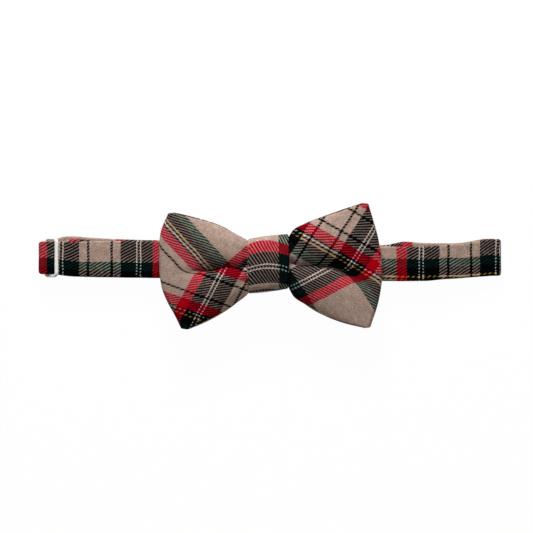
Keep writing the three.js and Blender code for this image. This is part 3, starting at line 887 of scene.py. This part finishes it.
def wing_ply(name, ply, grid, cloth, normal, inset, thick, material, slot):
    """A sheet of one ply, its edges rounded, lying inset below the wing's outer surface."""
    keep = slice(PLY_MARGIN, ACROSS - PLY_MARGIN)
    mid = grid[:, keep] - normal[:, keep] * (inset + thick / 2)
    n, places = normal[:, keep], cloth[:, keep]
    beyond = [mid[:, 0] - mid[:, 1], mid[:, -1] - mid[:, -2]]
    beyond = [d / np.linalg.norm(d, axis=1)[:, None] for d in beyond]
    bend = np.linspace(0, math.pi, 5)[1:-1]
    r = thick / 2
    far_rim = [mid[:, -1] + r * (math.cos(a) * n[:, -1] + math.sin(a) * beyond[1]) for a in bend]
    near_rim = [mid[:, 0] + r * (-math.cos(a) * n[:, 0] + math.sin(a) * beyond[0]) for a in bend]
    upper, lower = list((mid + r * n).swapaxes(0, 1)), list((mid - r * n).swapaxes(0, 1))
    columns = upper + far_rim + lower[::-1] + near_rim
    on_face = list(places.swapaxes(0, 1))
    far_places, near_places = [places[:, -1]] * len(bend), [places[:, 0]] * (len(bend) + 1)
    where = on_face + far_places + on_face[::-1] + near_places
    mesh = rings_mesh(name, np.stack(columns, 1), np.stack(where, 1))
    return new_piece(f"{name}_wing_{ply}", mesh, material, "bow")


def wing_cover(name, grid, cloth, normal):
    """The outer ply. Its long edges roll over the lining and the facing and end inside the fold."""
    lip_shift, inside_shift = 3.0, 6.0  # along the cloth, so that the inside doesn't repeat the outside
    r = STACK / 2
    bend = np.linspace(0, math.pi, 9)[1:-1]
    columns, where = list(grid.swapaxes(0, 1)), list(cloth.swapaxes(0, 1))

    def rim(edge, inner, sign):
        centre = grid[:, edge] - r * normal[:, edge]
        away = grid[:, edge] - grid[:, inner]
        away -= normal[:, edge] * np.einsum("ij,ij->i", away, normal[:, edge])[:, None]
        away /= np.linalg.norm(away, axis=1)[:, None]
        slope = cloth[:, edge] - cloth[:, inner]
        slope /= np.linalg.norm(grid[:, edge] - grid[:, inner], axis=1)[:, None]
        points = [centre + r * (math.cos(a) * normal[:, edge] + math.sin(a) * away) for a in bend]
        places = [cloth[:, edge] + slope * r * a for a in bend]
        return points[::sign], places[::sign]

    points, places = rim(-1, -2, 1)
    columns += points
    where += places
    for j in reversed(range(ACROSS)):
        is_lip = j < LIP or j > ACROSS - 1 - LIP
        columns.append(grid[:, j] - (STACK if is_lip else COVER_THICK) * normal[:, j])
        where.append(cloth[:, j] + (lip_shift if is_lip else inside_shift))
    points, places = rim(0, 1, -1)
    columns += points
    where += places
    where.append(cloth[:, 0])
    mesh = rings_mesh(name, np.stack(columns, 1), np.stack(where, 1))
    return new_piece(f"{name}_wing_cover", mesh, PLAID, "bow")


def dress_wings():
    for name in WINGS:
        v, grid, level = wing_grid(name)
        sheet = (grid, wing_cloth(name, v, grid, level), outward(grid))
        plies = {
            "cover": wing_cover(name, *sheet),
            "lining": wing_ply(name, "lining", *sheet, LINING_INSET, LINING_THICK, LINING, "lining"),
            "facing": wing_ply(name, "facing", *sheet, FACING_INSET, FACING_THICK, PLAID, "plaid_flannel"),
        }
        for ply, piece in plies.items():
            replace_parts(piece, f"{name}_wing_{ply}")


# ---- Knot ----
def rounded_loop(half_height, half_depth, corner, count):
    """Points, outward angles and distances round a rounded rectangle in Y and Z, from its rear."""
    h, d = half_height - corner, half_depth - corner
    corners = [(h, -d, -QUARTER), (h, d, 0), (-h, d, QUARTER), (-h, -d, 2 * QUARTER)]
    dense = [(0.0, -half_depth, -QUARTER)]
    for cy, cz, start in corners:
        for a in np.linspace(start, start + QUARTER, 12):
            dense.append((cy + corner * math.cos(a), cz + corner * math.sin(a), a))
    dense.append((0.0, -half_depth, 3 * QUARTER))
    dense = np.array(dense)
    along = np.concatenate([[0], np.cumsum(np.linalg.norm(np.diff(dense[:, :2], axis=0), axis=1))])
    at = np.linspace(0, along[-1], count, endpoint=False)
    y, z, angle = (np.interp(at, along, dense[:, k]) for k in range(3))
    return y, z, angle, at, along[-1]


def knot_shape(across, wide, front, height_share, angle, along):
    """How far the knot's padded cloth stands off a plain loop across one row of it."""
    share = np.clip(np.abs(across) / (wide / 2), 0, 1)
    crown = 0.35 * (1 - share**2) - 0.62 * share**7
    padding = KNOT_BULGE * max(0.0, 1 - height_share**2)
    uneven = 0.10 * ripple(across, np.full_like(across, along), 6.0, 3.1)
    arched = (0.2 * (1 - share**2) + 0.25 * share**5) * math.cos(angle) ** 2  # over the top and the bottom
    return front * (crown + padding + uneven) + arched


def knot_cloth(around, wide, beyond):
    """Places on the flat cloth across one row, that far beyond the middle of the front."""
    share = np.clip(np.abs(around) / (wide / 2), 0, 1)
    slant = 0.13 * around * (np.abs(around) < wide / 2)
    folded_away = 2.4 * smooth(beyond, 8.0, 11.5)
    warp = 12.2 - KNOT_Y + beyond - slant - 2.0 * share**2 + folded_away
    return np.stack([warp, 20.5 + KNOT_X + around], 1)


def knot_loop(name, inset, thick, width, padded, material):
    """A strip once round the bow and the band: the knot's cloth, or the lining inside it."""
    count, corner, rear_narrower = 132, 3.4, 1.6
    half_height, half_depth = KNOT_HALF_HEIGHT - inset - thick / 2, KNOT_HALF_DEPTH - inset - thick / 2
    y, z, angle, along, total = rounded_loop(half_height, half_depth, corner - inset, count)
    rings, places = [], []
    for k in range(count + 1):
        i = k % count
        front = float(smooth(z[i], -2.0, half_depth))
        wide = width - rear_narrower * (1 - front)
        across, out, around = strip_section(wide, thick)
        if padded:
            out = out + knot_shape(across, wide, front, y[i] / half_height, angle[i], along[i])
        xx = across * (1.0 + 0.012 * math.sin(along[i] * 0.21))
        yy, zz = y[i] + out * math.cos(angle[i]), z[i] + out * math.sin(angle[i])
        rings.append(np.stack([KNOT_X + xx, KNOT_Y + xx * KNOT_SLANT + yy, KNOT_Z + zz], 1))
        travelled = along[i] if k < count else total
        places.append(knot_cloth(around, wide, travelled - total / 2))
    mesh = rings_mesh(name, rings[:-1], np.array(places), closed=True)
    return new_piece(name, mesh, material, "bow")


def stitch(points, radius=0.16, sides=7):
    """One stitch: a short thread through a few points, thinner and sunk at both ends."""
    end_share = 0.55
    points = np.array(points, float)
    t = np.linspace(0, 1, 9)
    knots = np.linspace(0, 1, len(points))
    path = np.stack([np.interp(t, knots, points[:, k]) for k in range(3)], 1)
    rings = tube_rings(path, radius * (end_share + (1 - end_share) * np.sin(math.pi * t) ** 0.5), sides)
    return rings_mesh("stitch", rings, tube_cloth(rings))


def knot_seam():
    """Slanting stitches that close the knot's loop behind."""
    count, pitch, first_x = 9, 1.9, KNOT_X - 7.6
    half_height, sunk, proud = 1.0, 0.12, 0.05
    rear = KNOT_Z - KNOT_HALF_DEPTH
    stitches = []
    for k in range(count):
        x = first_x + pitch * k
        y = KNOT_Y + KNOT_SLANT * (x - KNOT_X)
        lean = 0.5 + 0.12 * math.sin(2.3 * k)
        stitches.append(stitch([
            (x - lean, y - half_height, rear + sunk),
            (x, y, rear - proud),
            (x + lean, y + 1.1 * half_height, rear + sunk),
        ]))
    return joined_mesh("knot_seam_stitches", stitches)


def dress_knot():
    lining_width = KNOT_WIDTH - 2.4
    knot = knot_loop("knot", 0.0, 0.8, KNOT_WIDTH, True, PLAID)
    lining = knot_loop("knot_lining", 0.98, 0.24, lining_width, False, LINING)
    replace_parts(knot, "knot")
    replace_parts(lining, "knot_lining")
    new_piece("knot_seam_stitches", knot_seam(), THREAD, "bow")


def dress_binding():
    """Thread wound round the pinched bow, turn beside turn."""
    turns, per_turn, wound_width = 10, 44, 5.2
    half_height, lift, corner, middle_y, radius = 11.45, 0.55, 2.3, 0.5, 0.24
    y, z, _, _, _ = rounded_loop(half_height, BOUND_DEPTH + lift, corner, per_turn)
    path = []
    for k in range(turns * per_turn + 1):
        i = k % per_turn
        x = BOW_X - wound_width / 2 + wound_width * k / (turns * per_turn)
        path.append((x + 0.03 * math.sin(1.3 * k), middle_y + y[i], BOW_MID_Z + z[i]))
    rings = tube_rings(path, radius, 8)
    mesh = rings_mesh("binding", rings, tube_cloth(rings))
    binding = new_piece("binding_thread", mesh, THREAD, "bow")
    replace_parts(binding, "binding_thread")


# ---- Wire hardware ----
def wire_ring(pitch):
    """The middle line of a closed ring of round wire and its radius, which is larger along the two bars."""
    half_x, half_y = pitch / 2, INNER_WIDTH / 2 + RAIL
    path, radii = [], []
    for k, (sx, sy) in enumerate([(1, 1), (-1, 1), (-1, -1), (1, -1)]):
        cx, cy = sx * (half_x - WIRE_CORNER), sy * (half_y - WIRE_CORNER)
        for a in np.linspace(k, k + 1, 11) * math.pi / 2:
            path.append((cx + WIRE_CORNER * math.cos(a), cy + WIRE_CORNER * math.sin(a), 0.0))
            radii.append(lerp(RAIL, WIRE, abs(math.cos(a))))
        heading = (k + 1) * math.pi / 2
        length = 2 * ((half_x if k % 2 == 0 else half_y) - WIRE_CORNER)
        corner = np.array(path[-1])
        direction = np.array([-math.sin(heading), math.cos(heading), 0.0])
        for share in np.linspace(0, 1, 14)[1:-1]:
            path.append(tuple(corner + direction * length * share))
            radii.append(radii[-1])
    return np.array(path), np.array(radii)


def ring_mesh(name, pitch, tilt, centre):
    """A closed ring of round wire, tilted about Y."""
    sides = 20
    path, radii = wire_ring(pitch)
    closed = np.concatenate([path[-1:], path, path[:1]])
    tangent = closed[2:] - closed[:-2]
    tangent /= np.linalg.norm(tangent, axis=1)[:, None]
    out = np.stack([tangent[:, 1], -tangent[:, 0], np.zeros(len(path))], 1)
    angles = np.arange(sides) * 2 * math.pi / sides
    up = np.array([0.0, 0.0, 1.0])
    rings = path[:, None] + radii[:, None, None] * (
        np.cos(angles)[None, :, None] * out[:, None] + np.sin(angles)[None, :, None] * up
    )
    c, s = math.cos(tilt), math.sin(tilt)
    x, y, z = rings[..., 0], rings[..., 1], rings[..., 2]
    turned = np.stack([x * c - z * s, y, x * s + z * c], -1) + np.array(centre)
    return rings_mesh(name, turned, tube_cloth(turned, closed=True), closed=True)


def tongue_mesh(middle, root_x, finger_x, under):
    """The hook's flat tongue: curled round its bar, level over the eye's free bar, and bent down behind it."""
    thick, width, bend, curl, tip_z = 1.2, 7.0, 0.9, 1.45, 1.05
    level = under + thick / 2
    turn = bend + thick / 2
    bend_x, bend_z = finger_x + bend, level - turn
    path = [
        (root_x + curl * math.cos(a), level - curl + curl * math.sin(a))
        for a in np.linspace(-0.9, QUARTER, 12)
    ]
    path += [(x, level) for x in np.linspace(root_x - 0.6, bend_x + 0.3, 10)]
    path += [
        (bend_x + turn * math.cos(a), bend_z + turn * math.sin(a))
        for a in np.linspace(QUARTER, math.pi, 10)
    ]
    path += [(bend_x - turn, z) for z in np.linspace(bend_z - 0.2, tip_z, 5)]
    path = np.array(path)
    tangent = np.gradient(path, axis=0)
    tangent /= np.linalg.norm(tangent, axis=1)[:, None]
    normal = np.stack([-tangent[:, 1], tangent[:, 0]], 1)
    rings = []
    for k, (point, n) in enumerate(zip(path, normal)):
        near_tip = min(1.0, (len(path) - 1 - k) / 5 + 0.55)  # the tip is smaller
        across, out, _ = strip_section(width * (0.8 + 0.2 * near_tip), thick * (0.6 + 0.4 * near_tip))
        rings.append(np.stack([point[0] + out * n[0], middle + across, point[1] + out * n[1]], 1))
    rings = np.array(rings)
    return rings_mesh("hook_tongue", rings, tube_cloth(rings))


def metal_piece(name, mesh, body):
    return new_piece(name, mesh, METAL, body)


def dress_slide_ring():
    rise = SLIDE_FREE_Z - LEFT_TURN[1]
    centre = (LEFT_TURN[0] + SLIDE_REACH / 2, SLIDE_MIDDLE + RING_LIFT, (LEFT_TURN[1] + SLIDE_FREE_Z) / 2)
    mesh = ring_mesh("slide_ring", math.hypot(SLIDE_REACH, rise), math.atan2(rise, SLIDE_REACH), centre)
    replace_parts(metal_piece("slide_ring", mesh, "slide_ring"), "slide_ring")


def dress_eye_and_hook():
    lean = math.asin((EYE_TURN[1] - EYE_FREE_Z) / EYE_PITCH)
    free_x = EYE_TURN[0] + EYE_PITCH * math.cos(lean)
    centre = ((EYE_TURN[0] + free_x) / 2, HOOK_MIDDLE, (EYE_TURN[1] + EYE_FREE_Z) / 2)
    eye = metal_piece("eye_ring", ring_mesh("eye_ring", EYE_PITCH, -lean, centre), "closure")
    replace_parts(eye, "eye_ring")

    clear = 1.5  # from the middle of the eye's free bar to the tongue that hooks over it
    centre = (HOOK_BAR[0] - HOOK_PITCH / 2, HOOK_MIDDLE, HOOK_BAR[1])
    hook = metal_piece("hook_ring", ring_mesh("hook_ring", HOOK_PITCH, 0.0, centre), "hook")
    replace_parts(hook, "hook")
    tongue = tongue_mesh(HOOK_MIDDLE, HOOK_BAR[0] - HOOK_PITCH, free_x - clear, EYE_FREE_Z + clear)
    metal_piece("hook_tongue", tongue, "hook")


def bartack(name, x, middle, z, body):
    """A dense row of stitches across a turned-back end."""
    count, half_length, half_width = 34, 5.4, 0.75
    sunk, proud, lean, radius = 0.12, 0.16, 0.12, 0.15
    stitches = []
    for k in range(count):
        y = middle - half_length + 2 * half_length * k / (count - 1)
        centre_x = x + 0.10 * math.sin(7.1 * k)
        stitches.append(stitch([
            (centre_x - half_width, y - lean, z - sunk),
            (x, y, z + proud),
            (centre_x + half_width, y + lean, z - sunk),
        ], radius))
    tack = new_piece(name, joined_mesh(name, stitches), THREAD, body)
    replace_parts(tack, name)


def dress_stitches():
    bartack("slider_end_bartack", -102.1, SLIDE_MIDDLE, 4.75, "slider")
    bartack("hook_end_bartack", 59.0, HOOK_MIDDLE, 2.2, "closure")


# ---- Studio ----
def area_light(name, place, size, power, warmth=(1.0, 1.0, 1.0)):
    """A square light, in metres and watts, that points at the object's middle."""
    light = bpy.data.lights.new(name, "AREA")
    light.shape = "SQUARE"
    light.size = size
    light.energy = power
    light.color = warmth
    lamp = bpy.data.objects.new(name, light)
    bpy.context.scene.collection.objects.link(lamp)
    lamp.location = place
    lamp.rotation_euler = (-Vector(place)).to_track_quat("-Z", "Y").to_euler()


def white_paper():
    """Paper that mostly glows, so that it stays white with faint shadows."""
    glow_share = 0.975
    s = Shader("paper_floor")
    place = s.add("TexCoord", out=3)
    fibres = s.noise(place, 300.0, 3.0, 0.6)
    paper = s.ramp(fibres, [(0.3, (0.90, 0.90, 0.90, 1.0)), (0.7, (0.94, 0.94, 0.94, 1.0))])
    bump = s.add("Bump", {"Strength": 0.05, "Distance": 0.0001, "Height": fibres})
    lit = s.add("BsdfDiffuse", {"Color": paper, "Normal": bump})
    glow = s.add("Emission", {"Color": (1.0, 1.0, 1.0, 1.0), "Strength": 1.0})
    return s.finish(s.add("MixShader", {0: glow_share, 1: lit, 2: glow}))


def paper_floor():
    half, z = 1.5, -0.0006
    corners = [(-half, -half, z), (half, -half, z), (half, half, z), (-half, half, z)]
    mesh = bpy.data.meshes.new("floor")
    mesh.from_pydata(corners, [], [(0, 1, 2, 3)])
    floor = new_piece("floor", mesh, white_paper())


def studio():
    scene = bpy.context.scene
    scene.view_settings.view_transform = "Standard"
    world = bpy.data.worlds.new("studio")
    scene.world = world
    world.use_nodes = True
    background = world.node_tree.nodes["Background"]
    background.inputs["Color"].default_value = (1.0, 1.0, 1.0, 1.0)
    background.inputs["Strength"].default_value = 0.10
    area_light("key", place=(-0.10, 0.84, 0.53), size=0.34, power=14.2)
    area_light("fill", place=(0.2, -0.1, 1.0), size=0.8, power=2.1, warmth=(1.0, 0.91, 0.85))
    paper_floor()


def camera():
    lens, sensor = 150.0, 36.0
    view_width, focus_height = 0.2665, 0.007
    data = bpy.data.cameras.new("camera")
    data.lens = lens
    data.sensor_width = sensor
    data.clip_end = 10.0
    cam = bpy.data.objects.new("camera", data)
    bpy.context.scene.collection.objects.link(cam)
    cam.location = (-0.00175, -0.00025, focus_height + view_width * lens / sensor)
    bpy.context.scene.camera = cam


camera()
studio()
dress_band()
dress_wings()
dress_knot()
dress_binding()
dress_slide_ring()
dress_eye_and_hook()
dress_stitches()
